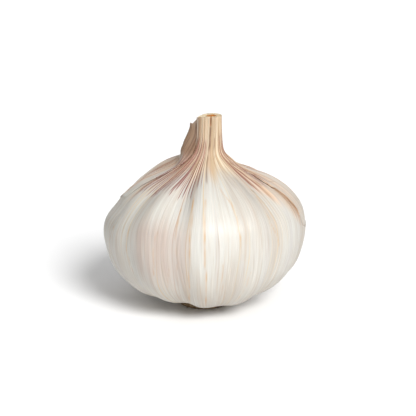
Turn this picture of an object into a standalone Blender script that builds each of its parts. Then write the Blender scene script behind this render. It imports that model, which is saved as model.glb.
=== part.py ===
"""A whole garlic bulb, standing on its root plate.

Metres, +Z up. The origin is the middle of the root plate's flat underside, and -Y is the front.
The bulb is a turned body that is then sculpted: its cloves push lobes into the skin, and above
them the skin gathers into the cut neck. Azimuths are in degrees, 0 at the front and 90 at +X.
"""

import math

import bmesh
import bpy
import numpy as np
from mathutils import Matrix, Vector

MM = 0.001

# Driving dimensions, in millimetres.
NECK_TOP = 55.0
NECK_LEAN = 1.4  # how far the neck's axis stands towards +X of the bulb's
CLEARANCE = 0.35  # gap between neighbouring pieces
SKIN = 0.35  # thickness of the loose outer skins

# The bulb's side, (radius, height), from the cut neck down to where it meets the root plate.
BULB_SIDE = (
    (3.45, NECK_TOP),
    (3.5, 51.5),
    (3.75, 48.0),
    (4.7, 44.8),
    (8.2, 42.1),
    (13.0, 39.9),
    (18.8, 37.2),
    (24.0, 33.6),
    (27.6, 28.8),
    (28.7, 22.8),
    (27.9, 16.8),
    (25.6, 11.0),
    (21.8, 6.5),
    (16.8, 3.6),
    (12.2, 2.6),
    (8.8, 3.1),
)

# One row for each clove, going round towards +X: the azimuth of the groove before it and that
# groove's depth as a share of the usual one. Then, in millimetres, how far the clove pushes out
# at its middle, how much higher its shoulder stands, and how much higher its foot is.
CLOVES = np.array(
    (
        (-110, 1.2, 0.2, -1.6, -0.1),
        (-71, 0.8, -0.1, -1.3, 0.5),
        (-49, 0.9, 0.2, -0.8, 0.5),
        (-16, 1.1, 0.2, 0.0, 0.1),
        (16, 0.5, 0.1, 0.0, 0.0),
        (45, 0.9, -0.2, 0.0, 1.2),
        (78, 1.0, 0.7, -0.4, 0.4),
        (112, 1.1, 0.3, -0.2, 0.0),
        (146, 0.9, 0.0, 0.4, 0.0),
        (182, 1.1, -0.4, 0.4, 0.3),
        (216, 1.0, -1.2, 1.2, 0.0),
    )
)
FULL_WIDTH = 33.0  # the usual clove's width in degrees: a narrower one has shallower grooves

# The hollow and the split in the neck's cut end, and the dry stalk that stands in it.
HOLLOW_RADIUS, HOLLOW_DEPTH, HOLLOW_SHIFT = 1.3, 5.0, 0.7
SPLIT_WIDTH, SPLIT_DEPTH = 0.6, 2.6
STALK_TOP = NECK_TOP - 0.6

# The root plate's half section, (radius, height), and the root stubs round its rim.
PLATE_TOP = 2.4
PLATE_SIDE = ((0, PLATE_TOP), (5.4, PLATE_TOP), (6.8, 2.0), (7.4, 1.3), (7.2, 0.5), (6.6, 0), (0, 0))
ROOT_COUNT, ROOT_RADIUS = 15, 0.5

# What is left of the two outer skins: the azimuths of the edge towards -X or the back, and of
# the other edge at the mouth and at the hem, and the heights of the mouth at both edges and of
# the hem. The left one stands off the neck as a flap, which reaches out by FLAP_REACH.
LEFT_SHEATH = {"start": (-182, -182), "end": (-62, -30), "mouth": (48.0, 52.8), "hem": 34.5}
RIGHT_SHEATH = {"start": (58, 76), "end": (160, 160), "mouth": (43.4, 43.4), "hem": 21.0}
FLAP_REACH = 2.6

TURN_STEPS = 80  # facets round the bulb
SIDE_STEPS = 30  # facets down its side


def smooth_step(low, high, value):
    """0 at low, 1 at high and beyond, and a smooth rise between."""
    share = np.clip((value - low) / (high - low), 0.0, 1.0)
    return share * share * (3 - 2 * share)


def smooth_curve(points, count):
    """That many (radius, height) points on a smooth curve through points, evenly spaced."""
    points = np.array(points, float)
    along = np.concatenate(([0.0], np.cumsum(np.linalg.norm(np.diff(points, axis=0), axis=1))))
    slopes = np.gradient(points, along, axis=0)
    wanted = np.linspace(0.0, along[-1], count)
    span = np.clip(np.searchsorted(along, wanted, side="right") - 1, 0, len(points) - 2)
    width = (along[span + 1] - along[span])[:, None]
    s = (wanted - along[span])[:, None] / width
    return (
        (2 * s**3 - 3 * s**2 + 1) * points[span]
        + (s**3 - 2 * s**2 + s) * width * slopes[span]
        + (3 * s**2 - 2 * s**3) * points[span + 1]
        + (s**3 - s**2) * width * slopes[span + 1]
    )


def clove_at(azimuth):
    """For each azimuth: the nearest groove's depth, how near the clove's crest it is from 0 in
    a groove to 1, and the clove's push, shoulder and foot, blended with its neighbour's."""
    first = CLOVES[:, 0]
    last = np.append(first[1:], first[0] + 360)
    turned_to = (azimuth - first[0]) % 360 + first[0]
    own = np.searchsorted(first, turned_to, side="right") - 1
    half = (last - first)[own] / 2
    across = (turned_to - first[own]) / half - 1
    beside = (own + np.where(across > 0, 1, -1)) % len(CLOVES)
    share = 0.5 * smooth_step(0.3, 1.0, abs(across))[..., None]
    push, shoulder, foot = np.moveaxis(
        (1 - share) * CLOVES[own, 2:] + share * CLOVES[beside, 2:], -1, 0
    )
    nearest = np.where(across > 0, (own + 1) % len(CLOVES), own)
    between = (last - first + np.roll(last - first, 1)) / 2
    depth = CLOVES[nearest, 1] * between[nearest] / FULL_WIDTH
    crest = (0.5 + 0.5 * np.cos(np.pi * across)) ** 0.9
    return depth, crest, push, shoulder, foot


def sculpt(azimuth, radius, height, out, up, lift=0.0, stand=0.0):
    """Points on the bulb's skin, in metres. The turned body's point is at radius and height and
    its surface faces (out, up). lift is how far outside the skin the point lies, and stand is
    how much further it is from the axis."""
    depth, crest, push, shoulder, foot = clove_at(azimuth)
    groove = 0.75 + 0.5 * np.exp(-(((height - 35) / 4.5) ** 2))
    groove = groove * smooth_step(44, 37, height) * smooth_step(8.5, 12, radius)
    body = smooth_step(4, 12, height) * smooth_step(42, 36, height)
    offset = lift + push * crest * body - depth * groove * (1 - crest)
    radius_now = radius + stand + out * offset
    height_now = height + up * offset
    height_now = height_now + shoulder * smooth_step(16, 32, height) * smooth_step(46, 39, height)
    height_now = height_now + foot * smooth_step(16, 4, height) * smooth_step(9, 13, radius)
    angle = np.radians(azimuth)
    lean = NECK_LEAN * smooth_step(36, 50, height)
    place = (radius_now * np.sin(angle) + lean, -radius_now * np.cos(angle), height_now)
    return MM * np.stack(place, axis=-1)


def new_object(name, mesh, collection):
    obj = bpy.data.objects.new(name, mesh)
    collection.objects.link(obj)
    return obj


def coordinates(mesh, field):
    """The mesh's vertex field, co or normal, as three arrays."""
    values = np.empty(len(mesh.vertices) * 3, np.float32)
    mesh.vertices.foreach_get(field, values)
    return values.reshape(-1, 3).T.astype(float)


def move_vertices(mesh, places):
    mesh.vertices.foreach_set("co", places.astype(np.float32).ravel())
    mesh.update()


def turned(name, side, steps, collection):
    """A closed body turned about Z from its side, (radius, height) in millimetres, which runs
    from the axis at the top, down the outside, to the axis at the bottom."""
    profile = bpy.data.meshes.new(name)
    points = [(radius * MM, 0, height * MM) for radius, height in side]
    profile.from_pydata(points, [(i, i + 1) for i in range(len(points) - 1)], [])
    obj = new_object(name, profile, collection)
    screw = obj.modifiers.new("Turn", "SCREW")
    screw.steps = screw.render_steps = steps
    screw.use_merge_vertices = True
    screw.merge_threshold = 0.00001
    graph = bpy.context.evaluated_depsgraph_get()
    mesh = bpy.data.meshes.new_from_object(obj.evaluated_get(graph))
    bpy.data.objects.remove(obj)
    return new_object(name, mesh, collection)


def finish(obj, colour, roughness):
    """Smooth shading, and a plain material of that colour."""
    obj.data.shade_smooth()
    obj.data.set_sharp_from_angle(angle=math.radians(50))
    material = bpy.data.materials.new(obj.name)
    material.use_nodes = True
    shader = material.node_tree.nodes["Principled BSDF"]
    shader.inputs["Base Color"].default_value = (*colour, 1)
    shader.inputs["Roughness"].default_value = roughness
    shader.inputs["Metallic"].default_value = 0.0
    obj.data.materials.clear()
    obj.data.materials.append(material)
    return obj


def join_or_cut(obj, other, operation):
    modifier = obj.modifiers.new(other.name, "BOOLEAN")
    modifier.operation = operation
    modifier.object = other
    other.hide_render = True
    other.display_type = "WIRE"


def make_bulb(parts, cutters):
    """The cloves in their wrapper skin, up to the neck's cut end, as one body."""
    roof = PLATE_TOP + CLEARANCE
    side = [(0, NECK_TOP), *smooth_curve(BULB_SIDE, SIDE_STEPS + 1), (8.2, roof), (0, roof)]
    bulb = turned("bulb", side, TURN_STEPS, parts)
    x, y, height = coordinates(bulb.data, "co") / MM
    normal = coordinates(bulb.data, "normal")
    radius = np.hypot(x, y)
    azimuth = np.degrees(np.arctan2(x, -y))
    out = (normal[0] * x + normal[1] * y) / np.maximum(radius, 0.001)
    move_vertices(bulb.data, sculpt(azimuth, radius, height, out, normal[2]))

    floor = NECK_TOP - HOLLOW_DEPTH
    over = NECK_TOP + 1
    hollow_side = ((0, over), (HOLLOW_RADIUS, over), (HOLLOW_RADIUS, floor), (0, floor))
    hollow = turned("neck_hollow", hollow_side, 20, cutters)
    hollow.location.x = (NECK_LEAN + HOLLOW_SHIFT) * MM
    join_or_cut(bulb, hollow, "DIFFERENCE")
    split_mesh = bpy.data.meshes.new("neck_split")
    shape = bmesh.new()
    bmesh.ops.create_cube(shape, size=1.0)
    bmesh.ops.scale(shape, vec=Vector((SPLIT_WIDTH, 5.0, 2 * SPLIT_DEPTH)) * MM, verts=shape.verts)
    shape.to_mesh(split_mesh)
    shape.free()
    split = new_object("neck_split", split_mesh, cutters)
    split.location = Vector((NECK_LEAN + HOLLOW_SHIFT, -3.0, NECK_TOP)) * MM
    join_or_cut(bulb, split, "DIFFERENCE")
    return finish(bulb, (0.80, 0.75, 0.68), 0.5)


def make_sheath(name, edges, reach, columns, rows, parts):
    """What is left of an outer skin that lies over the bulb: a sheet between its two edges,
    which stands off the neck by reach."""
    mesh = bpy.data.meshes.new(name)
    shape = bmesh.new()
    bmesh.ops.create_grid(shape, x_segments=columns, y_segments=rows, size=0.5)
    shape.to_mesh(mesh)
    shape.free()
    across, upward, _ = coordinates(mesh, "co") + 0.5
    down = 1 - upward
    start = np.interp(down, (0.3, 1), edges["start"])
    end = np.interp(down, (0.3, 1), edges["end"])
    azimuth = start + (end - start) * across
    mouth = np.interp(across, (0, 0.5), edges["mouth"])
    height = mouth + (edges["hem"] - mouth) * down

    side = smooth_curve(BULB_SIDE, 200)
    side = side[: np.argmax(side[:, 0])][::-1]
    radius = np.interp(height, side[:, 1], side[:, 0])
    slope = np.gradient(side[:, 0], side[:, 1])
    flare = -np.interp(height, side[:, 1], slope)
    out = 1 / np.hypot(1, flare)
    standing = smooth_step(41.5, 45.5, height) * (1 - 0.45 * smooth_step(47, 53, height))
    loose = smooth_step(1, 0.72, across) * (0.15 + 0.85 * smooth_step(0, 0.4, across))
    stand = reach * standing * loose
    move_vertices(mesh, sculpt(azimuth, radius, height, out, flare * out, CLEARANCE, stand))
    sheath = new_object(name, mesh, parts)
    solidify = sheath.modifiers.new("Skin", "SOLIDIFY")
    solidify.thickness = SKIN * MM
    solidify.offset = 1.0
    return finish(sheath, (0.62, 0.47, 0.36), 0.6)


def make_stalk(parts):
    """The dry flower stalk's stub, in the hollow of the neck."""
    foot = NECK_TOP - HOLLOW_DEPTH + CLEARANCE
    radius = HOLLOW_RADIUS - CLEARANCE
    shoulder = STALK_TOP - 0.4
    side = ((0, STALK_TOP), (radius - 0.3, STALK_TOP), (radius, shoulder), (radius, foot), (0, foot))
    stalk = turned("dry_stalk", side, 16, parts)
    stalk.location.x = (NECK_LEAN + HOLLOW_SHIFT) * MM
    return finish(stalk, (0.30, 0.16, 0.07), 0.8)


def make_root_plate(parts, cutters):
    """The corky disc that the bulb stands on, with the trimmed ends of its roots."""
    plate = turned("root_plate", PLATE_SIDE, 32, parts)
    for i in range(ROOT_COUNT):
        length = (2.2 + 0.4 * math.sin(2.4 * i)) * MM
        stub_mesh = bpy.data.meshes.new("root")
        shape = bmesh.new()
        bmesh.ops.create_cone(
            shape,
            cap_ends=True,
            segments=6,
            radius1=ROOT_RADIUS * MM,
            radius2=0.7 * ROOT_RADIUS * MM,
            depth=length,
            matrix=Matrix.Translation((0, 0, length / 2)),
        )
        shape.to_mesh(stub_mesh)
        shape.free()
        stub = new_object(f"root_{i + 1:02d}", stub_mesh, cutters)
        angle = 2 * math.pi * (i + 0.25 * math.sin(5 * i)) / ROOT_COUNT
        stub.location = Vector((6.0 * math.sin(angle), -6.0 * math.cos(angle), 1.15)) * MM
        stub.rotation_euler = (math.radians(94), 0, angle)
        join_or_cut(plate, stub, "UNION")
    return finish(plate, (0.45, 0.36, 0.25), 0.9)


def main():
    for obj in list(bpy.data.objects):
        bpy.data.objects.remove(obj)
    parts = bpy.data.collections.new("garlic_bulb")
    cutters = bpy.data.collections.new("cutters")
    bpy.context.scene.collection.children.link(parts)
    bpy.context.scene.collection.children.link(cutters)
    make_bulb(parts, cutters)
    make_sheath("left_sheath", LEFT_SHEATH, FLAP_REACH, 26, 16, parts)
    make_sheath("right_sheath", RIGHT_SHEATH, 0.0, 20, 14, parts)
    make_stalk(parts)
    make_root_plate(parts, cutters)


main()
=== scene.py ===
"""The garlic bulb's looks: papery skins over the cloves, the cut neck, the stalk and the root plate.

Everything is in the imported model's frame: metres, +Z up, -Y at the front, and the origin under
the middle of the root plate. Sizes below are in millimetres unless they say otherwise, and
azimuths are in degrees, 0 at the front and 90 at +X.
"""

import math

import bpy
import numpy as np
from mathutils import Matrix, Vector


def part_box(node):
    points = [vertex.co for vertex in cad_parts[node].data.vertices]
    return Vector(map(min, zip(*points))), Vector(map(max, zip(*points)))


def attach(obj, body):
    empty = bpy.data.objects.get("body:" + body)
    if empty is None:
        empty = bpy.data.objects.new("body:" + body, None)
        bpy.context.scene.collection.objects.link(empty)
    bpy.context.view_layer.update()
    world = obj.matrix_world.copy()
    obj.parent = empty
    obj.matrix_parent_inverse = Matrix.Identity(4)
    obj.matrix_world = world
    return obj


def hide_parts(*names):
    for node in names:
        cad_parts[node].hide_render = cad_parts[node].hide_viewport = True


MM = 0.001
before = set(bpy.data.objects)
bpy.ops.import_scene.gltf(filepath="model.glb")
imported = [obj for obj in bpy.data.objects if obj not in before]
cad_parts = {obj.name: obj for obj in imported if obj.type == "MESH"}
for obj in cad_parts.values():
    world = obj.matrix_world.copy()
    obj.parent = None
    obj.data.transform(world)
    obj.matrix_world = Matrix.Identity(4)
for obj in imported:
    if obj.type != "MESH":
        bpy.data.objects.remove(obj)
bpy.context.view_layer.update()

# The bulb's side, as in the CAD: (radius, height) points from the neck's rim down.
NECK_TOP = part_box("bulb")[1].z / MM
NECK_RADIUS = 3.5
NECK_LEAN = 1.4
PLATE_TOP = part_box("root_plate")[1].z / MM
BULB_SIDE = (
    (3.45, NECK_TOP),
    (NECK_RADIUS, 51.5),
    (3.75, 48.0),
    (4.7, 44.8),
    (8.2, 42.1),
    (13.0, 39.9),
    (18.8, 37.2),
    (24.0, 33.6),
    (27.6, 28.8),
    (28.7, 22.8),
    (27.9, 16.8),
    (25.6, 11.0),
    (21.8, 6.5),
    (16.8, 3.6),
    (12.2, 2.6),
    (8.8, 3.1),
)

# One row for each clove, going round towards +X: the azimuth of the groove before it and that
# groove's depth as a share of the usual one. Then how far the clove pushes out at its middle,
# how much higher its shoulder stands, and how much higher its foot is.
CLOVES = np.array(
    (
        (-110, 1.2, 0.2, -1.5, -0.1),
        (-71, 0.9, -0.1, -1.3, 0.8),
        (-49, 0.9, 0.2, -0.8, 0.85),
        (-16, 1.1, 0.2, 0.0, 0.1),
        (16, 0.5, 0.1, 0.0, 0.2),
        (45, 0.9, -0.2, 0.0, 1.2),
        (78, 1.0, 0.7, -0.4, 0.4),
        (112, 1.1, 0.3, -0.2, 0.0),
        (146, 0.9, 0.0, 0.4, 0.0),
        (182, 1.1, -0.4, 0.4, 0.3),
        (216, 1.0, -1.2, 1.2, 0.0),
    )
)
FULL_WIDTH = 33.0  # the usual clove's width in degrees: a narrower one has shallower grooves

# Where the bulb is pressed in: azimuth, height, how far round (degrees) and up (mm), and depth.
DENTS = ((-86, 31.0, 24, 4.5, 1.3), (-85, 38.5, 25, 2.2, -0.35), (-125, 40.0, 28, 3.2, -0.45))

# The outlines of the two outer skins: (height, azimuth) of the two edges, and the mouth's and
# the hem's (share of the way across, height). The left one stands off the neck as a flap.
LEFT_SHEATH = {
    "start": ((31, -182), (53, -182)),
    "end": (
        (31, -88),
        (33, -80),
        (36, -77),
        (39, -74),
        (41, -67),
        (43, -57),
        (45, -61),
        (50, -69),
        (54, -67),
    ),
    "mouth": ((0, 47.5), (0.35, 50.0), (0.62, 52.2), (0.85, 52.8), (1, 54.4)),
    "hem": (
        (0, 35.0),
        (0.15, 31.0),
        (0.35, 33.5),
        (0.55, 30.0),
        (0.75, 31.5),
        (0.93, 34.0),
        (1, 34.6),
    ),
}
RIGHT_SHEATH = {
    "start": (
        (21, 80),
        (27, 79),
        (33.5, 80),
        (36, 79),
        (37.5, 67),
        (39.5, 66),
        (41.7, 62),
        (45.5, 52),
    ),
    "end": ((21, 160), (45.5, 160)),
    "mouth": ((0, 42.5), (1, 44.0)),
    "hem": ((0, 28.0), (0.12, 23.0), (0.4, 24.0), (0.7, 23.0), (1, 26.5)),
}

# Dark lines in the skin, pressed in a little: how wide (mm), how dark, and their (height, azimuth)
# points. Their dark brown is partly the skin's own cracks and partly painted shade in the crease.
CREASES = (
    (0.30, 1.0, ((38.5, 3), (41, 2), (43, 1), (45, 3), (47, 5), (49, 3), (51, 7), (52.5, 8))),
    (0.18, 0.8, ((43.2, 22), (45, 23), (47, 25), (49.5, 25))),
    (0.24, 0.9, ((36.6, 74), (37.4, 66), (38.4, 67), (39.5, 70), (40.8, 66), (41.7, 62), (43, 57))),
    (0.26, 0.8, ((38.6, 86), (39.6, 82), (41, 79), (42.1, 80), (44, 75))),
    (0.20, 0.8, ((37.6, 50), (39.4, 51))),
    (0.20, 0.7, ((36.2, 47), (37.8, 45))),
    (0.22, 0.7, ((36.2, 88), (37.5, 84))),
    (0.22, 0.7, ((36.8, 58), (38.2, 59), (39.6, 56))),
)

# Veins of the ivory skin, in the same way.
VEINS = (
    (0.17, 0.8, ((20, 21), (23.3, 21), (28.4, 20), (31.8, 20), (35.3, 19), (38.5, 14))),
    (0.17, 0.9, ((5, 2), (14.7, 2), (20.6, 1), (32.3, 1), (36, 1))),
    (0.16, 0.6, ((22, 47), (25.7, 45), (29.2, 42), (32.9, 43), (36.5, 45))),
    (0.20, 1.0, ((15, -29), (18.2, -28), (26.2, -27), (29, -26))),
    (0.18, 1.0, ((6, -10), (13.2, -8), (27.6, -7), (32.3, -7), (36.5, -8))),
    (0.18, 0.9, ((17, -15), (19.8, -14), (26, -15), (32.9, -16), (35, -16))),
    (0.18, 0.8, ((12, -84), (15.2, -80), (19.9, -70), (24, -65), (28, -63))),
    (0.16, 0.6, ((11, -22), (14.4, -21), (18.1, -19), (21, -19))),
    (0.16, 0.6, ((13, -46), (16.6, -47), (21, -48), (30, -47))),
    (0.16, 0.5, ((9, 12), (15, 11), (20, 11))),
    (0.15, 0.5, ((6, 24), (12, 26), (17, 27))),
)

# The outer skins, and the bulb under them.
FLAP_REACH = 3.0  # how far the left one's flap stands off the neck
PAPER = 0.12  # an outer skin's thickness
LIFT = 0.10  # how far an outer skin lies off the bulb
TUCK = 0.30  # how far the bulb is drawn in under an outer skin
SINK = 0.40  # how far the right one's top is sunk into the bulb, which hides its mouth

# The wrapper skin's relief.
CREASE_DEPTH = 0.25
SWELL_HEIGHT = 0.10
OVERLAP = 0.30  # how far its outer edge stands up where it laps over itself at the neck

# The neck's cut end, from the rim in to the hollow, which is right of the neck's middle.
LEAVES = 3.5  # layers of leaf between the rim and the hollow
CUT_SHARES = np.linspace(0.04, 1, 16)
HOLLOW_X = NECK_LEAN + 0.75
HOLLOW_RADIUS = 1.05
HOLLOW_DEPTHS = (0.5, 1.2, 2.0, 3.2, 4.4, 5.0)

# The split in the neck: its azimuth and half its width in degrees, its foot's height, and how
# far it is pressed in, as a share of the way to the hollow's wall.
SPLIT_AT, SPLIT_WIDTH, SPLIT_FOOT, SPLIT_SHARE = 8.0, 3.6, 51.8, 0.28

# The low part of the rim: its azimuth, its width in degrees and its depth.
CHIP = (-105, 48, 0.8)

STALK_RADIUS = 0.9
STALK_BREAK = 0.5  # how far the stalk's broken edge is under its top in the CAD
ROOF_GAP = 0.35  # between the root plate and the bulb over it

# The roots: their number, each one's sides, and how far from the middle they start.
ROOT_COUNT, ROOT_SIDES, ROOT_START = 54, 8, 5.8

COLUMNS = 440
SIDE_ROWS = 176
SEED = 11

# The ivory skin's fibres: the noise, the two values that it fades in between, its strength and
# its colour.
IVORY_FIBRES = (
    ("middle", 0.48, 0.70, 0.45, (182, 170, 157)),
    ("middle", 0.46, 0.28, 0.35, (180, 174, 172)),
    ("fine", 0.52, 0.72, 0.46, (176, 154, 134)),
    ("finest", 0.55, 0.78, 0.36, (160, 138, 116)),
    ("finest", 0.45, 0.25, 0.40, (228, 224, 214)),
)

# The purple streaks: their number round the bulb, their width and a shift of their noise.
PURPLE_LINES = ((56, 0.27, 70.0), (90, 0.23, 90.0), (140, 0.18, 110.0))

# The lamps: name, azimuth, elevation, how many degrees each is across, and strength.
SUNS = (
    ("key", 27, 35, 24, 3.45),
    ("overhead", 20, 72, 100, 1.3),
    ("fill", -35, 8, 40, 0.4),
    ("behind", 185, 7, 40, 1.3),
)
WORLD_LIGHT = 0.03
FLOOR_WHITE = 0.95
FLOOR_HALF = 6.0  # metres

# The camera, in degrees and metres.
CAMERA_ELEVATION = 14
CAMERA_DISTANCE = 0.3308
CAMERA_TARGET = (0.00115, 0, 0.0281)


def smooth_step(low, high, value):
    """0 at low, 1 at high and beyond, and a smooth rise between."""
    share = np.clip((value - low) / (high - low), 0.0, 1.0)
    return share * share * (3 - 2 * share)


def smooth_curve(points, count):
    """That many (radius, height) points on a smooth curve through points, evenly spaced."""
    points = np.array(points, float)
    along = np.concatenate(([0.0], np.cumsum(np.linalg.norm(np.diff(points, axis=0), axis=1))))
    slopes = np.gradient(points, along, axis=0)
    wanted = np.linspace(0.0, along[-1], count)
    span = np.clip(np.searchsorted(along, wanted, side="right") - 1, 0, len(points) - 2)
    width = (along[span + 1] - along[span])[:, None]
    s = (wanted - along[span])[:, None] / width
    return (
        (2 * s**3 - 3 * s**2 + 1) * points[span]
        + (s**3 - 2 * s**2 + s) * width * slopes[span]
        + (3 * s**2 - 2 * s**3) * points[span + 1]
        + (s**3 - s**2) * width * slopes[span + 1]
    )


def along_table(table, value):
    """The table's second column at value in its first."""
    return np.interp(value, *np.transpose(table))


def swell(azimuth, height, cycles, tall, seed):
    """A smooth random field from about -1 to 1, the same on both sides of the back seam. It has
    about cycles waves round the bulb, each tall millimetres high."""
    rng = np.random.default_rng(seed)
    total = 0
    for _ in range(6):
        turns = rng.integers(max(1, cycles // 2), cycles + cycles // 2 + 1)
        rise = rng.uniform(-1, 1) * 2 * np.pi / tall
        phase = rng.uniform(0, 2 * np.pi)
        total = total + np.sin(turns * np.radians(azimuth) + rise * height + phase)
    return total / 3


def jagged(value, count, seed):
    """A torn line: random teeth between -1 and 1, count of them to each unit of value."""
    rng = np.random.default_rng(seed)
    knots = np.cumsum(rng.uniform(0.3, 1.7, 4 * count + 8)) / count - 1.5
    return np.interp(value, knots, rng.uniform(-1, 1, len(knots)))


def clove_at(azimuth):
    """For each azimuth: the nearest groove's depth, how near the clove's crest it is from 0 in
    a groove to 1, and the clove's push, shoulder and foot, blended with its neighbour's."""
    first = CLOVES[:, 0]
    last = np.append(first[1:], first[0] + 360)
    turned_to = (azimuth - first[0]) % 360 + first[0]
    own = np.searchsorted(first, turned_to, side="right") - 1
    half = (last - first)[own] / 2
    across = (turned_to - first[own]) / half - 1
    beside = (own + np.where(across > 0, 1, -1)) % len(CLOVES)
    share = 0.5 * smooth_step(0.3, 1.0, abs(across))[..., None]
    push, shoulder, foot = np.moveaxis(
        (1 - share) * CLOVES[own, 2:] + share * CLOVES[beside, 2:], -1, 0
    )
    nearest = np.where(across > 0, (own + 1) % len(CLOVES), own)
    between = (last - first + np.roll(last - first, 1)) / 2
    depth = CLOVES[nearest, 1] * between[nearest] / FULL_WIDTH
    crest = (0.5 + 0.5 * np.cos(np.pi * across)) ** 0.9
    return depth, crest, push, shoulder, foot


def pleats(azimuth, height, count, width, seed):
    """How deep each point is in the furrows where the skin gathers, from 0 to 1. Each furrow
    runs down from the neck to its own height."""
    rng = np.random.default_rng(seed)
    centres = (np.arange(count) + rng.uniform(-0.35, 0.35, count)) * 360 / count
    depth = rng.uniform(0.3, 1.0, count)
    reach = rng.uniform(28, 41, count)
    place = (azimuth + 1.2 * swell(azimuth, height, 5, 14, seed + 1)) % 360
    after = np.searchsorted(centres, place) % count
    total = 0
    for near in (after - 1, after, (after + 1) % count):
        apart = (place - centres[near] + 180) % 360 - 180
        fade = smooth_step(reach[near], reach[near] + 9, height)
        total = total + depth[near] * fade * np.exp(-((apart / width) ** 2))
    return np.clip(total, 0, 1)


def furrows(azimuth, height):
    """The gathers' depth in millimetres, and how deep in them each point is, from 0 to 1, which the
    material paints as shade.
    """
    coarse = pleats(azimuth, height, 34, 3.2, SEED)
    fine = pleats(azimuth, height, 100, 1.2, SEED + 5)
    strength = smooth_step(31, 42, height) * (1 - 0.35 * smooth_step(43, 48, height))
    deep_coarse = 0.22 + 0.16 * smooth_step(40, 46, height)
    depth = strength * (deep_coarse * coarse + 0.20 * fine)
    return depth, strength * np.clip(0.5 * coarse + 0.6 * fine, 0, 1)


def drawn(marks, azimuth, height, radius, wobble, wave, seed):
    """How strongly each point lies on the drawn marks, from 0 to 1. They wobble by that many
    degrees, in waves that many millimetres long."""
    strongest = np.zeros(azimuth.shape)
    for width, strength, line in marks:
        place = along_table(line, height) + wobble * swell(0 * height, height, 1, wave, seed)
        apart = abs(azimuth - place) * np.radians(radius)
        low, high = line[0][0], line[-1][0]
        ends = smooth_step(low, low + 0.8, height) * smooth_step(high, high - 0.8, height)
        worn = 0.7 + 0.3 * swell(0 * height, height, 1, 2.5, seed + 1)
        near = smooth_step(1.5 * width, 0.3 * width, apart)
        strongest = np.maximum(strongest, strength * ends * worn * near)
    return np.clip(strongest, 0, 1)


def creases(azimuth, height, radius):
    """How dark each point is in the dark lines, from 0 to 1: partly the skin's own brown, partly
    painted shade.
    """
    return drawn(CREASES, azimuth, height, radius, 0.7, 3.5, SEED + 40)


def mauve_and_shade(azimuth, height):
    """How much the ivory skin is tinted a darker pinkish grey, from 0 to 1: low on the clove left of
    the middle. The tint is partly the skin's own and partly painted shade.
    """
    across = smooth_step(-46, -36, azimuth) * smooth_step(-6, -11, azimuth)
    return across * smooth_step(34, 27, height) * smooth_step(8, 18, height)


def inside_sheath(outline, azimuth, height):
    """About how many millimetres each point is inside the outline's nearest edge, below 0
    outside it."""
    start = along_table(outline["start"], height)
    end = along_table(outline["end"], height)
    across = (azimuth - start) / (end - start)
    per_degree = 0.4  # millimetres round the shoulders
    ends = np.minimum(azimuth - start, end - azimuth) * per_degree
    mouth = along_table(outline["mouth"], across)
    hem = along_table(outline["hem"], across)
    return np.minimum(ends, np.minimum(height - hem, mouth - height))


def tucked(azimuth, height):
    """1 where the bulb lies well inside an outer skin's outline and 0 outside it."""
    left = inside_sheath(LEFT_SHEATH, azimuth, height)
    right = inside_sheath(RIGHT_SHEATH, azimuth, height)
    return smooth_step(0.2, 1.6, np.maximum(left, right))


def sculpt(azimuth, radius, height, out, up, lift=0.0, stand=0.0):
    """Points on the bulb's skin, in metres. The turned body's point is at radius and height and
    its surface faces (out, up). lift is how far outside the skin the point lies, and stand is
    how much further it is from the axis."""
    depth, crest, push, shoulder, foot = clove_at(azimuth)
    groove = 0.75 + 0.5 * np.exp(-(((height - 35) / 4.5) ** 2))
    groove = groove * smooth_step(44, 37, height) * smooth_step(8.5, 12, radius)
    body = smooth_step(4, 12, height) * smooth_step(42, 36, height)
    offset = lift + push * crest * body - depth * groove * (1 - crest)
    offset = offset - furrows(azimuth, height)[0]
    offset = offset - CREASE_DEPTH * creases(azimuth, height, radius)
    offset = offset + SWELL_HEIGHT * body * swell(azimuth, height, 9, 25, SEED + 2)
    for middle, level, wide, tall, deep in DENTS:
        spread = ((azimuth - middle) / wide) ** 2 + ((height - level) / tall) ** 2
        offset = offset - deep * np.exp(-spread)
    radius_now = radius + stand + out * offset
    height_now = height + up * offset
    height_now = height_now + shoulder * smooth_step(16, 32, height) * smooth_step(46, 39, height)
    height_now = height_now + foot * smooth_step(16, 4, height) * smooth_step(9, 13, radius)
    angle = np.radians(azimuth)
    lean = NECK_LEAN * smooth_step(36, 50, height)
    place = (radius_now * np.sin(angle) + lean, -radius_now * np.cos(angle), height_now)
    return MM * np.stack(place, axis=-1)


def grain(azimuth, height):
    """Coordinates for the skin's fibres, which run up and down the bulb: the same all along a
    fibre but for the last one, which is the height."""
    angle = np.radians(azimuth + 0.8 * swell(azimuth, height, 6, 18, SEED + 3))
    return np.stack((np.cos(angle), np.sin(angle), np.broadcast_to(height / 100, angle.shape)), -1)


def mesh_object(name, points, faces, fields):
    """A smooth mesh object with those points and faces, and the fields' values at its points."""
    mesh = bpy.data.meshes.new(name)
    mesh.from_pydata(points.reshape(-1, 3), [], faces)
    mesh.validate()
    mesh.shade_smooth()
    for field_name, values in fields.items():
        values = np.ascontiguousarray(values, np.float32).reshape(points.size // 3, -1)
        is_vector = values.shape[1] == 3
        kind = "FLOAT_VECTOR" if is_vector else "FLOAT"
        layer = mesh.attributes.new(field_name, kind, "POINT")
        layer.data.foreach_set("vector" if is_vector else "value", values.ravel())
    obj = bpy.data.objects.new(name, mesh)
    bpy.context.scene.collection.objects.link(obj)
    return obj


def grid_faces(rows, columns, wrap):
    """Faces between neighbouring rows of points, closed round the back if wrap is true."""
    row = np.arange(rows - 1)[:, None] * columns
    column = np.arange(columns if wrap else columns - 1)[None, :]
    beside = (column + 1) % columns
    corners = (row + column, row + beside, row + columns + beside, row + columns + column)
    return np.stack(corners, -1).reshape(-1, 4).tolist()


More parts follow.
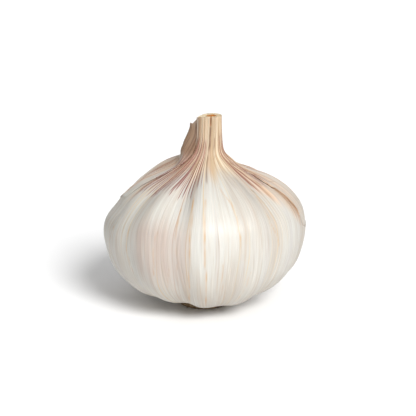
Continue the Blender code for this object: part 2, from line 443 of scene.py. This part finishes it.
def turned_object(name, points, fields):
    """A closed mesh from rings of points, from the lowest on the outside up and over the top.
    Its first and last rings are closed with a face each."""
    rows, columns = points.shape[:2]
    faces = grid_faces(rows, columns, True)
    last = (rows - 1) * columns
    faces.append(list(range(columns))[::-1])
    faces.append(list(range(last, last + columns)))
    return mesh_object(name, points, faces, fields)


def side_at(height):
    """The bulb's side above its widest point: radius at that height, and which way it faces."""
    side = smooth_curve(BULB_SIDE, 400)
    side = side[: np.argmax(side[:, 0])][::-1]
    radius = np.interp(height, side[:, 1], side[:, 0])
    flare = -np.interp(height, side[:, 1], np.gradient(side[:, 0], side[:, 1]))
    out = 1 / np.hypot(1, flare)
    return radius, out, flare * out


def straw(azimuth, height):
    """How straw-coloured the skin is, from 0 to 1: the neck and just below it, but less so
    beside the flap."""
    flap = smooth_step(-52, -64, azimuth) * smooth_step(-150, -120, azimuth)
    uneven = height + 1.2 * swell(azimuth, height, 14, 40, SEED + 20)
    return smooth_step(37.6, 43.5, uneven) * (1 - 0.7 * flap)


def tan(azimuth, height):
    """How tan the skin is, from 0 to 1: the right shoulder, and the left one up to the flap."""
    right_edge = np.interp(height, (24, 29, 32, 35, 37, 40, 43), (76, 63, 59, 54, 47, 40, 34))
    right = smooth_step(right_edge - 7, right_edge + 7, azimuth) * smooth_step(17, 35, height)
    right = right * smooth_step(176, 150, azimuth)
    left_edge = np.interp(height, (31, 36, 40, 43, 46), (-76, -66, -60, -50, -58))
    left = smooth_step(left_edge + 8, left_edge - 8, azimuth) * smooth_step(28, 39, height)
    return np.maximum(right, 0.8 * left * smooth_step(-195, -150, azimuth))


def purple(azimuth, height):
    """How strongly the purple-brown streaks show, from 0 to 1."""
    front = smooth_step(-88, -70, azimuth) * smooth_step(3, -12, azimuth)
    front = front * smooth_step(34.5, 40, height) * smooth_step(54, 44, height)
    beside = 0.9 * smooth_step(38, 54, azimuth) * smooth_step(110, 80, azimuth)
    beside = beside * smooth_step(34.5, 40.5, height)
    behind = 0.6 * smooth_step(-80, -120, azimuth) * smooth_step(33, 41, height)
    behind_right = 0.6 * smooth_step(100, 130, azimuth) * smooth_step(33, 41, height)
    strongest = np.maximum.reduce((front, beside, behind, behind_right))
    return strongest * smooth_step(54, 45, height)


def skin_fields(azimuth, height, radius, **more):
    """The named values that the skins' material reads."""
    fields = {
        "grain": grain(azimuth, height),
        "girth": radius / 100,
        # furrow: how deep in the gathers each point is, painted darker there as shade
        "furrow": furrows(azimuth, height)[1],
        # crease: the dark lines, partly the skin's own cracks and partly painted shade
        "crease": creases(azimuth, height, radius),
        "vein": drawn(VEINS, azimuth, height, radius, 0.5, 30, SEED + 50),
        # A darker pinkish grey on the clove left of the middle: partly the skin's own tint, partly
        # painted shade
        "mauve_and_shade": mauve_and_shade(azimuth, height),
        # brown: the flap's darker brown, partly its own colour and partly painted shade; none on the
        # bulb
        "brown": np.zeros(azimuth.shape),
        "straw": straw(azimuth, height),
        "tan": tan(azimuth, height),
        "purple": purple(azimuth, height),
        "cut": np.zeros(azimuth.shape),
        "deep": np.zeros(azimuth.shape),
    }
    fields.update(more)
    return fields


def ring(centre_x, radius, height, azimuth):
    """A level ring of points, in metres."""
    angle = np.radians(azimuth)
    height = np.broadcast_to(height, angle.shape)
    return MM * np.stack((centre_x + radius * np.sin(angle), -radius * np.cos(angle), height), -1)


def chipped(azimuth):
    """How much lower the neck's rim is at each azimuth, in millimetres."""
    middle, wide, deep = CHIP
    apart = (azimuth - middle + 180) % 360 - 180
    return deep * np.exp(-((apart / wide) ** 2))


def skin_rows(azimuth):
    """The bulb's skin in rows of points, from the root plate up to the neck's rim. Then each
    point's height and radius on the plain turned body."""
    side = smooth_curve(BULB_SIDE, SIDE_ROWS)[::-1]
    step = np.gradient(side, axis=0)
    facing = np.stack((step[:, 1], -step[:, 0]), -1) / np.linalg.norm(step, axis=1)[:, None]
    around, radius = np.meshgrid(azimuth, side[:, 0])
    height = np.broadcast_to(side[:, 1:2], around.shape)
    out = np.broadcast_to(facing[:, :1], around.shape)
    up = np.broadcast_to(facing[:, 1:], around.shape)
    seam = along_table(CREASES[0][2], height)
    wrap = 1 - ((around - seam) % 360) / 360
    layer = OVERLAP * wrap * smooth_step(40, 45, height) - TUCK * tucked(around, height)
    skin = sculpt(around, radius, height, out, up, lift=layer)
    skin[:, :, 2] -= MM * chipped(azimuth) * smooth_step(51, 55, height)
    return skin, height, radius


def cut_rows(azimuth, rim, lip):
    """The neck's cut end, from its rim in to the hollow's lip, ridged by its layers of leaf."""
    torn = 0.18 * jagged(azimuth / 360, 40, SEED + 7)
    rows = []
    for share in CUT_SHARES:
        row = lip * share + rim * (1 - share)
        leaf = np.cos(2 * np.pi * LEAVES * share)
        uneven = (torn - chipped(azimuth)) * (1 - share)
        row[:, 2] = MM * (NECK_TOP - 0.28 + 0.20 * leaf + uneven)
        rows.append(row)
    return rows


def hollow_rows(azimuth, worn):
    """The hollow's wall, down from its lip, and its floor."""
    rows = [ring(HOLLOW_X, worn * 0.95, NECK_TOP - depth, azimuth) for depth in HOLLOW_DEPTHS]
    rows.append(ring(HOLLOW_X, 0.15, NECK_TOP - HOLLOW_DEPTHS[-1], azimuth))
    return rows


def split_share(azimuth, height):
    """How far each point is inside the split in the neck, from 0 to 1."""
    gap = abs(azimuth - SPLIT_AT - 1.2 * swell(0 * height, height, 1, 6, SEED + 8))
    near = smooth_step(SPLIT_WIDTH, 0.5 * SPLIT_WIDTH, gap)
    return near * smooth_step(SPLIT_FOOT, SPLIT_FOOT + 1.2, height)


def make_bulb():
    """The cloves in their wrapper skin, and the neck with its cut end, split and hollow."""
    azimuth = np.linspace(-190, 170, COLUMNS, endpoint=False)
    under = [ring(0, radius, PLATE_TOP + ROOF_GAP, azimuth) for radius in (0.4, 3, 6, 8)]
    skin, height, radius = skin_rows(azimuth)
    worn = HOLLOW_RADIUS * (1 + 0.14 * swell(azimuth, 0, 5, 10, SEED + 6))
    cut = cut_rows(azimuth, skin[-1], ring(HOLLOW_X, worn, NECK_TOP, azimuth))
    points = np.stack((*under, *skin, *cut, *hollow_rows(azimuth, worn)))

    skin_start = len(under)
    cut_start = skin_start + len(skin)
    hollow_start = cut_start + len(cut)
    level = points[:, :, 2] / MM
    level[skin_start:cut_start] = height
    around = np.broadcast_to(azimuth, level.shape)
    open_at = split_share(around, level)
    open_at[hollow_start:] = 0
    inner = ring(HOLLOW_X, 0.9 * HOLLOW_RADIUS, 0, azimuth)[None, :, :2]
    points[:, :, :2] += SPLIT_SHARE * open_at[..., None] * (inner - points[:, :, :2])

    cut_field = np.zeros(level.shape)
    cut_field[cut_start:] = 1
    deep_field = 1.0 * open_at
    deep_field[cut_start:hollow_start] += smooth_step(0.55, 1.0, CUT_SHARES)[:, None]
    deep_field[hollow_start:] = 1
    reach = np.full(level.shape, NECK_RADIUS)
    reach[skin_start:cut_start] = radius
    fields = skin_fields(around, level, reach, cut=cut_field, deep=np.clip(deep_field, 0, 1))
    return turned_object("bulb_skin", points, fields)


def sheath_grid(outline, columns, rows, seed):
    """Rows of points from the outline's hem up to its mouth, its edges torn: the shares of the
    way across and up that each one is, its azimuth, its height and the hem's height below it."""
    across, upward = np.meshgrid(np.linspace(0, 1, columns), np.linspace(0, 1, rows))
    mouth = along_table(outline["mouth"], across) + 0.25 * jagged(across, 24, seed)
    torn = 1.6 * jagged(across, 11, seed + 4) + 0.6 * jagged(across, 50, seed + 1)
    hem = along_table(outline["hem"], across) + torn
    height = hem + (mouth - hem) * upward
    ragged = jagged(height / 10, 12, seed + 2)
    start = along_table(outline["start"], height) + ragged * (1 - across) ** 8
    end = along_table(outline["end"], height) + ragged * across**8
    return across, upward, start + (end - start) * across, height, hem


def make_sheath(name, outline, columns, rows, reach, seed):
    """An outer skin's remnant: a thin torn sheet over the bulb. Its top stands off the neck by
    reach as a flap, or is sunk into the bulb if reach is 0."""
    across, upward, azimuth, height, hem = sheath_grid(outline, columns, rows, seed)
    radius, out, up = side_at(height)
    is_flap = reach > 0
    standing = smooth_step(41.5, 45.5, height) * (1 - 0.45 * smooth_step(47, 53, height))
    loose = smooth_step(1, 0.76, across) * (0.15 + 0.85 * smooth_step(0, 0.4, across))
    from_ends = np.minimum(across, 1 - across) * columns
    edge = np.minimum(np.minimum(upward, 1 - upward) * rows, from_ends)
    curl = 0.04 * smooth_step(6, 0, edge) * (1 + swell(azimuth, height, 20, 9, seed + 3))
    sunk = smooth_step(38.5, 41.5, height) * (not is_flap)
    lift = LIFT * smooth_step(-0.5, 2.0, height - hem) + curl
    lift = lift - TUCK * tucked(azimuth, height) * (1 - standing * is_flap) - SINK * sunk
    # The flap's upper part is darkened brown: partly its own dry brown, partly painted shade beside
    # the neck
    brown = is_flap * smooth_step(42.5, 45.5, height) * smooth_step(58, 51, height)
    points = sculpt(azimuth, radius, height, out, up, lift, reach * standing * loose)
    fields = skin_fields(azimuth, height, radius, brown=brown)
    sheath = mesh_object(name, points, grid_faces(rows, columns, False), fields)
    solidify = sheath.modifiers.new("Paper", "SOLIDIFY")
    solidify.thickness = PAPER * MM
    solidify.offset = 1.0
    return sheath


def make_stalk():
    """The dry stalk's stub: a fibrous peg with a broken top, down in the neck's hollow."""
    azimuth = np.linspace(0, 360, 60, endpoint=False)
    low, high = (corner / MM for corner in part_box("dry_stalk"))
    edge = high.z - STALK_BREAK
    broken = 0.25 * jagged(azimuth / 360, 14, SEED + 9)
    ribbed = STALK_RADIUS * (1 + 0.10 * np.sin(np.radians(azimuth) * 9 + 1))
    rings = [ring(HOLLOW_X, 0.1, low.z, azimuth)]
    for share in (0, 0.3, 0.6, 0.85, 1):
        height = low.z + (edge - low.z) * share
        rings.append(ring(HOLLOW_X, ribbed, height + broken * share, azimuth))
    for share in (0.75, 0.4, 0.1):
        height = edge - 0.5 * (1 - share)
        rings.append(ring(HOLLOW_X, ribbed * share, height + broken * share, azimuth))
    points = np.stack(rings)
    around = np.broadcast_to(azimuth, points.shape[:2])
    return turned_object("dry_stalk_stub", points, {"grain": grain(around, points[:, :, 2] / MM)})


def make_root_plate():
    """The corky disc under the bulb, rough at its side and pitted underneath."""
    azimuth = np.linspace(0, 360, 220, endpoint=False)
    side = smooth_curve(((7.2, 0.25), (7.6, 0.9), (7.2, 1.7), (6.0, PLATE_TOP)), 12)
    profile = [(radius, 0.0) for radius in (0.3, 1.5, 2.8, 4.0, 5.0, 5.8, 6.5, 6.95)]
    profile += side.tolist()
    profile += [(4.0, PLATE_TOP), (0.3, PLATE_TOP)]
    rings = []
    for radius, height in profile:
        rough = 1 + 0.02 * swell(azimuth, 20 * height, 30, 9, SEED + 10)
        pits = 0.16 * abs(swell(azimuth, 6 * radius, 16, 11, SEED + 11))
        pits = pits * (height == 0) * (radius < 6.6)
        rings.append(ring(0, radius * rough, height + pits, azimuth))
    points = np.stack(rings)
    around = np.broadcast_to(azimuth, points.shape[:2])
    radius = np.broadcast_to(np.array(profile)[:, :1], around.shape)
    angle = np.radians(around)
    place = np.stack((np.cos(angle) * radius, np.sin(angle) * radius, points[:, :, 2] / MM), -1)
    return turned_object("root_plate_cork", points, {"grain": place / 10})


def root_points(rng, azimuth):
    """One root's stub: four rings of points, from inside the plate out to the trimmed end."""
    angle = math.radians(azimuth)
    sine, cosine = math.sin(angle), math.cos(angle)
    outward = np.array((sine, -cosine, rng.uniform(-0.25, 0.35)))
    outward /= np.linalg.norm(outward)
    across = np.cross(outward, (0, 0, 1))
    across /= np.linalg.norm(across)
    over = np.cross(across, outward)
    thick = rng.uniform(0.28, 0.5)
    length = rng.uniform(0.5, 1.1)
    base = np.array((ROOT_START * sine, -ROOT_START * cosine, rng.uniform(0.6, 1.6)))
    points = []
    for share, width in ((0, 1.0), (0.5, 0.85), (1, 0.72), (1.0, 0.35)):
        bend = over * -0.3 * share**2
        for k in range(ROOT_SIDES):
            turn = 2 * math.pi * k / ROOT_SIDES
            round_it = across * math.cos(turn) + over * math.sin(turn)
            points.append(base + outward * (0.6 + length * share) + thick * width * round_it + bend)
    return points


def root_faces(first):
    """The faces of the root whose first point is number first, with its two ends closed."""
    faces = []
    for row in range(3):
        start = first + row * ROOT_SIDES
        for k in range(ROOT_SIDES):
            a = start + k
            b = start + (k + 1) % ROOT_SIDES
            faces.append((a, a + ROOT_SIDES, b + ROOT_SIDES, b))
    tip = first + 3 * ROOT_SIDES
    faces.append(tuple(range(tip, tip + ROOT_SIDES))[::-1])
    faces.append(tuple(range(first, first + ROOT_SIDES)))
    return faces


def make_roots():
    """The dry stubs of the roots, trimmed close round the root plate's rim."""
    rng = np.random.default_rng(SEED + 12)
    points = []
    faces = []
    for i in range(ROOT_COUNT):
        azimuth = 360 * (i + rng.uniform(-0.35, 0.35)) / ROOT_COUNT
        faces += root_faces(len(points))
        points += root_points(rng, azimuth)
    points = np.array(points)
    points[:, 2] = np.maximum(points[:, 2], 0.05)
    return mesh_object("root_stubs", points * MM, faces, {"grain": points / 10})


def colour(red, green, blue):
    """A linear colour from 0 to 255 screen values."""
    screen = np.array((red, green, blue)) / 255
    linear = np.where(screen > 0.04045, ((screen + 0.055) / 1.055) ** 2.4, screen / 12.92)
    return (*linear, 1.0)


def node(tree, kind, inputs=(), **settings):
    """A shader node with those settings, its inputs set to values or linked to sockets."""
    made = tree.nodes.new(kind)
    for name, value in settings.items():
        setattr(made, name, value)
    for key, value in dict(inputs).items():
        if isinstance(value, bpy.types.NodeSocket):
            tree.links.new(value, made.inputs[key])
        else:
            made.inputs[key].default_value = value
    return made


def field(tree, name):
    """The named value that the mesh carries at its points."""
    return node(tree, "ShaderNodeAttribute", attribute_name=name).outputs["Fac"]


def fibres(tree, around, along, detail=2.0, shift=0.0):
    """Noise from 0 to 1 drawn out along the fibres: around and along are its scales."""
    vector = node(tree, "ShaderNodeAttribute", attribute_name="grain").outputs["Vector"]
    scaled = node(
        tree,
        "ShaderNodeVectorMath",
        {0: vector, 1: (around, around, along), 2: (shift, shift, shift)},
        operation="MULTIPLY_ADD",
    )
    inputs = {"Vector": scaled.outputs[0], "Scale": 1.0, "Detail": detail}
    return node(tree, "ShaderNodeTexNoise", inputs).outputs["Fac"]


def ramp(tree, value, low, high, to_low=0.0, to_high=1.0):
    """to_low where value is low, to_high where it is high, and smooth between."""
    inputs = {"Value": value, "From Min": low, "From Max": high, "To Min": to_low, "To Max": to_high}
    made = node(tree, "ShaderNodeMapRange", inputs, interpolation_type="SMOOTHSTEP")
    return made.outputs["Result"]


def calc(tree, operation, *values):
    """The result of that operation on the values."""
    return node(tree, "ShaderNodeMath", dict(enumerate(values)), operation=operation).outputs[0]


def mix(tree, factor, first, second):
    """The first colour where factor is 0 and the second where it is 1."""
    made = node(tree, "ShaderNodeMix", {0: factor, 6: first, 7: second}, data_type="RGBA")
    return made.outputs[2]


def new_material(name):
    """A node material, its tree and its Principled shader."""
    material = bpy.data.materials.new(name)
    material.use_nodes = True
    tree = material.node_tree
    return material, tree, tree.nodes["Principled BSDF"]


def bumped(tree, shader, height, distance, strength):
    """Gives the shader a relief of that height, distance metres high where height is 1."""
    inputs = {"Height": height, "Distance": distance, "Strength": strength}
    bump = node(tree, "ShaderNodeBump", inputs)
    tree.links.new(bump.outputs["Normal"], shader.inputs["Normal"])


def lines(tree, count, width, wiggle, shift):
    """Thin lines along the fibres, about count of them round the bulb and width millimetres
    wide: how strong the line is at a point, and a random colour for each line."""
    grain_at = node(tree, "ShaderNodeAttribute", attribute_name="grain").outputs["Vector"]
    apart = node(tree, "ShaderNodeSeparateXYZ", {0: grain_at})
    turn = calc(tree, "ARCTAN2", apart.outputs[1], apart.outputs[0])
    waves = calc(tree, "SUBTRACT", fibres(tree, 1.5, 4, 1.0, shift), 0.5)
    bend = calc(tree, "MULTIPLY", waves, wiggle)
    place = calc(tree, "MULTIPLY_ADD", turn, count / (2 * math.pi), bend)
    inputs = {"W": calc(tree, "ADD", place, shift), "Scale": 1.0}
    cells = node(tree, "ShaderNodeTexVoronoi", inputs, voronoi_dimensions="1D")
    share = calc(tree, "DIVIDE", width * count / (200 * math.pi), field(tree, "girth"))
    share = calc(tree, "MINIMUM", share, 0.25)
    edge = calc(tree, "MULTIPLY", share, 0.75)
    core = calc(tree, "MULTIPLY", share, 0.2)
    return ramp(tree, cells.outputs["Distance"], edge, core), cells.outputs["Color"]


def ivory_skin(tree, noise):
    """The wrapper skin's colour on the cloves: ivory fibres, veins and a darker pinkish grey patch,
    partly its own tint and partly painted shade.
    """
    broad = ramp(tree, noise["broad"], 0.38, 0.62)
    ivory = mix(tree, broad, colour(187, 181, 172), colour(199, 197, 190))
    for kind, low, high, strength, tint in IVORY_FIBRES:
        ivory = mix(tree, ramp(tree, noise[kind], low, high, 0, strength), ivory, colour(*tint))

    vein, vein_kind = lines(tree, 84, 0.22, 1.4, 20.0)
    kind = node(tree, "ShaderNodeSeparateColor", {0: vein_kind})
    gold_or_brown = ramp(tree, kind.outputs[1], 0.55, 0.75)
    vein_colour = mix(tree, gold_or_brown, colour(206, 172, 108), colour(170, 128, 100))
    along_vein = ramp(tree, fibres(tree, 6, 3.5, 1.0, 31.0), 0.38, 0.62)
    strength = calc(tree, "MULTIPLY", along_vein, ramp(tree, kind.outputs[0], 0.1, 1.0, 0.1, 0.8))
    ivory = mix(tree, calc(tree, "MULTIPLY", vein, strength), ivory, vein_colour)

    strong_vein = calc(tree, "MULTIPLY", field(tree, "vein"), 0.8)
    ivory = mix(tree, strong_vein, ivory, colour(190, 146, 94))
    # A darker pinkish grey on the clove left of the middle: partly the skin's own tint, partly
    # painted shade
    uneven = ramp(tree, noise["middle"], 0.3, 0.6, 0.3, 0.8)
    tint_and_shade = calc(tree, "MULTIPLY", field(tree, "mauve_and_shade"), uneven)
    return mix(tree, tint_and_shade, ivory, colour(182, 166, 156))


def tan_skin(tree, noise):
    """The skin's colour on the shoulders: tan, with brown lines."""
    tanned = mix(tree, noise["shade"], colour(212, 186, 160), colour(170, 132, 104))
    tanned = mix(tree, ramp(tree, noise["middle"], 0.50, 0.66), tanned, colour(214, 196, 178))
    line, _ = lines(tree, 110, 0.2, 2.0, 60.0)
    shown = calc(tree, "MULTIPLY", line, ramp(tree, noise["fine"], 0.4, 0.6, 0, 0.8))
    return mix(tree, shown, tanned, colour(132, 90, 66))


def neck_skin(tree, noise):
    """The skin's colour at the neck: straw, with brown lines."""
    grained = ramp(tree, fibres(tree, 11, 3, 4.0, 17.0), 0.42, 0.60)
    neck = mix(tree, grained, colour(224, 208, 180), colour(194, 166, 130))
    patches = ramp(tree, fibres(tree, 4, 2, 1.0, 19.0), 0.45, 0.6, 0, 0.4)
    neck = mix(tree, patches, neck, colour(212, 182, 156))
    line, _ = lines(tree, 44, 0.14, 0.8, 50.0)
    shown = calc(tree, "MULTIPLY", line, ramp(tree, noise["middle"], 0.4, 0.6, 0.25, 0.95))
    return mix(tree, shown, neck, colour(140, 98, 66))


def streaked(tree, noise, skin):
    """The skin with its purple streaks, and a blush between them."""
    purple_field = field(tree, "purple")
    for count, width, shift in PURPLE_LINES:
        streak, streak_kind = lines(tree, count, width, 2.2, shift)
        kind = node(tree, "ShaderNodeSeparateColor", {0: streak_kind})
        wave = ramp(tree, fibres(tree, 14, 12, 2.0, shift), 0.3, 0.7, -0.3, 0.3)
        reach = calc(tree, "ADD", calc(tree, "ADD", purple_field, kind.outputs[0]), wave)
        shown = calc(tree, "MULTIPLY", streak, ramp(tree, reach, 0.85, 1.30, 0, 1.0))
        shown = calc(tree, "MULTIPLY", shown, ramp(tree, purple_field, 0.05, 0.45, 0, 0.92))
        skin = mix(tree, shown, skin, colour(124, 64, 60))
    patches = ramp(tree, noise["middle"], 0.35, 0.65, 0.0, 0.22)
    blush = calc(tree, "MULTIPLY", purple_field, patches)
    return mix(tree, blush, skin, colour(170, 130, 112))


def marked(tree, noise, skin):
    """The skin with the flap's dark brown, painted shade in the furrows, darker creases and the
    neck's cut end. The flap's brown and the creases' dark are partly painted shade.
    """
    # The flap's dark brown: partly its own colour, partly painted shade
    flap = mix(tree, noise["shade"], colour(140, 112, 88), colour(100, 74, 56))
    skin = mix(tree, calc(tree, "MULTIPLY", field(tree, "brown"), 0.92), skin, flap)
    # Painted shade: the gathers' furrows are darkened tan, the deeper the darker
    furrow = ramp(tree, field(tree, "furrow"), 0.2, 1.0, 0, 0.35)
    skin = mix(tree, furrow, skin, colour(150, 110, 86))
    # The creases' dark brown: partly the skin's own cracks, partly painted shade
    crease = calc(tree, "MULTIPLY", field(tree, "crease"), 0.85)
    skin = mix(tree, crease, skin, colour(104, 68, 42))

    fine = ramp(tree, noise["fine"], 0.4, 0.6)
    inside = mix(tree, fine, colour(226, 212, 184), colour(198, 172, 128))
    skin = mix(tree, field(tree, "cut"), skin, inside)
    return mix(tree, ramp(tree, field(tree, "deep"), 0.15, 0.95), skin, colour(186, 116, 50))


def skin_material():
    """Dry papery skin: ivory with fine veins, straw at the neck, tan and purple-brown on top."""
    material, tree, shader = new_material("papery_skin")
    noise = {
        "broad": fibres(tree, 2.2, 2.0, 2.0),
        "middle": fibres(tree, 11, 2.5, 3.0, 7.0),
        "fine": fibres(tree, 38, 5, 3.0, 3.0),
        "finest": fibres(tree, 110, 9, 2.0, 5.0),
        "shade": ramp(tree, fibres(tree, 26, 5, 3.0, 13.0), 0.40, 0.62),
    }
    patchy = ramp(tree, fibres(tree, 9, 1.5, 3.0, 23.0), 0.3, 0.7, 0.35, 1.6)
    tan_share = calc(tree, "MULTIPLY", field(tree, "tan"), patchy)
    tan_share = ramp(tree, tan_share, 0.1, 1.15, 0, 0.95)
    skin = mix(tree, tan_share, ivory_skin(tree, noise), tan_skin(tree, noise))
    straw_share = ramp(tree, field(tree, "straw"), 0.0, 1.0, 0, 0.85)
    skin = mix(tree, straw_share, skin, neck_skin(tree, noise))
    skin = marked(tree, noise, streaked(tree, noise, skin))
    tree.links.new(skin, shader.inputs["Base Color"])

    roughness = ramp(tree, noise["fine"], 0.3, 0.7, 0.42, 0.58)
    tree.links.new(roughness, shader.inputs["Roughness"])
    shader.inputs["Specular IOR Level"].default_value = 0.35
    shader.inputs["Subsurface Weight"].default_value = 0.10
    shader.inputs["Subsurface Radius"].default_value = (1.0, 0.7, 0.45)
    shader.inputs["Subsurface Scale"].default_value = 0.0012
    fine_relief = calc(tree, "MULTIPLY", noise["fine"], 0.6)
    relief = calc(tree, "MULTIPLY_ADD", noise["middle"], 0.4, fine_relief)
    bumped(tree, shader, relief, 0.0004, 0.85)
    return material


def stalk_material():
    """Dry, dark brown stalk with paler fibres."""
    material, tree, shader = new_material("dry_stalk")
    fine = fibres(tree, 9, 30, 3.0)
    brown = mix(tree, ramp(tree, fine, 0.35, 0.65), colour(74, 42, 18), colour(150, 98, 44))
    tree.links.new(brown, shader.inputs["Base Color"])
    shader.inputs["Roughness"].default_value = 0.85
    bumped(tree, shader, fine, 0.0002, 0.6)
    return material


def cork_material():
    """The root plate's dry cork and the roots' stubs."""
    material, tree, shader = new_material("root_cork")
    rough = fibres(tree, 14, 14, 6.0)
    patches = fibres(tree, 4, 4, 2.0, 3.0)
    cork = mix(tree, ramp(tree, rough, 0.35, 0.65), colour(140, 112, 80), colour(196, 170, 132))
    cork = mix(tree, ramp(tree, patches, 0.45, 0.65, 0, 0.6), cork, colour(104, 78, 52))
    tree.links.new(cork, shader.inputs["Base Color"])
    shader.inputs["Roughness"].default_value = 0.9
    bumped(tree, shader, rough, 0.0003, 0.7)
    return material


def add_sun(name, azimuth, elevation, spread, strength):
    """A distant light, from that azimuth and elevation and spread degrees across."""
    light = bpy.data.lights.new(name, "SUN")
    light.energy = strength
    light.angle = math.radians(spread)
    sun = bpy.data.objects.new(name, light)
    bpy.context.scene.collection.objects.link(sun)
    sun.rotation_euler = (math.radians(90 - elevation), 0, math.radians(azimuth))


def make_floor():
    """A plain white floor, far wider than the picture."""
    mesh = bpy.data.meshes.new("floor")
    corners = [(-1, -1, 0), (1, -1, 0), (1, 1, 0), (-1, 1, 0)]
    mesh.from_pydata([Vector(corner) * FLOOR_HALF for corner in corners], [], [(0, 1, 2, 3)])
    floor = bpy.data.objects.new("floor", mesh)
    bpy.context.scene.collection.objects.link(floor)
    material, _, shader = new_material("floor_white")
    shader.inputs["Base Color"].default_value = (FLOOR_WHITE, FLOOR_WHITE, FLOOR_WHITE, 1)
    shader.inputs["Roughness"].default_value = 1.0
    shader.inputs["Specular IOR Level"].default_value = 0.0
    mesh.materials.append(material)


def make_world():
    """A background that the camera sees as white, and that lights the scene only a little."""
    world = bpy.data.worlds.new("studio")
    bpy.context.scene.world = world
    world.use_nodes = True
    tree = world.node_tree
    lit = tree.nodes["Background"]
    lit.inputs["Color"].default_value = (1, 1, 1, 1)
    lit.inputs["Strength"].default_value = WORLD_LIGHT
    seen = node(tree, "ShaderNodeBackground", {"Color": (1, 1, 1, 1), "Strength": 1.0})
    ray = node(tree, "ShaderNodeLightPath")
    inputs = {0: ray.outputs["Is Camera Ray"], 1: lit.outputs[0], 2: seen.outputs[0]}
    both = node(tree, "ShaderNodeMixShader", inputs)
    tree.links.new(both.outputs[0], tree.nodes["World Output"].inputs["Surface"])


def make_camera():
    """Looks slightly down at the bulb from the front."""
    elevation = math.radians(CAMERA_ELEVATION)
    data = bpy.data.cameras.new("camera")
    data.lens = 100
    data.sensor_width = 36
    camera = bpy.data.objects.new("camera", data)
    back = Vector((0, -math.cos(elevation), math.sin(elevation)))
    camera.location = Vector(CAMERA_TARGET) + CAMERA_DISTANCE * back
    camera.rotation_euler = (math.pi / 2 - elevation, 0, 0)
    bpy.context.scene.collection.objects.link(camera)
    bpy.context.scene.camera = camera


def add_piece(piece, node_names, material):
    """Gives the piece its material and puts it on the bulb's body, in place of those CAD nodes, if
    any.
    """
    piece.data.materials.append(material)
    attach(piece, "root")
    if node_names:
        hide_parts(*node_names)


def main():
    """Makes the pieces, the floor, the lamps and the camera."""
    bpy.context.scene.view_settings.view_transform = "Standard"
    skin = skin_material()
    cork = cork_material()
    add_piece(make_bulb(), ["bulb"], skin)
    left = make_sheath("left_outer_skin", LEFT_SHEATH, 300, 90, FLAP_REACH, SEED + 30)
    right = make_sheath("right_outer_skin", RIGHT_SHEATH, 240, 110, 0.0, SEED + 40)
    add_piece(left, ["left_sheath"], skin)
    add_piece(right, ["right_sheath"], skin)
    add_piece(make_stalk(), ["dry_stalk"], stalk_material())
    add_piece(make_root_plate(), ["root_plate"], cork)
    add_piece(make_roots(), [], cork)
    make_floor()
    make_world()
    for sun in SUNS:
        add_sun(*sun)
    make_camera()


main()
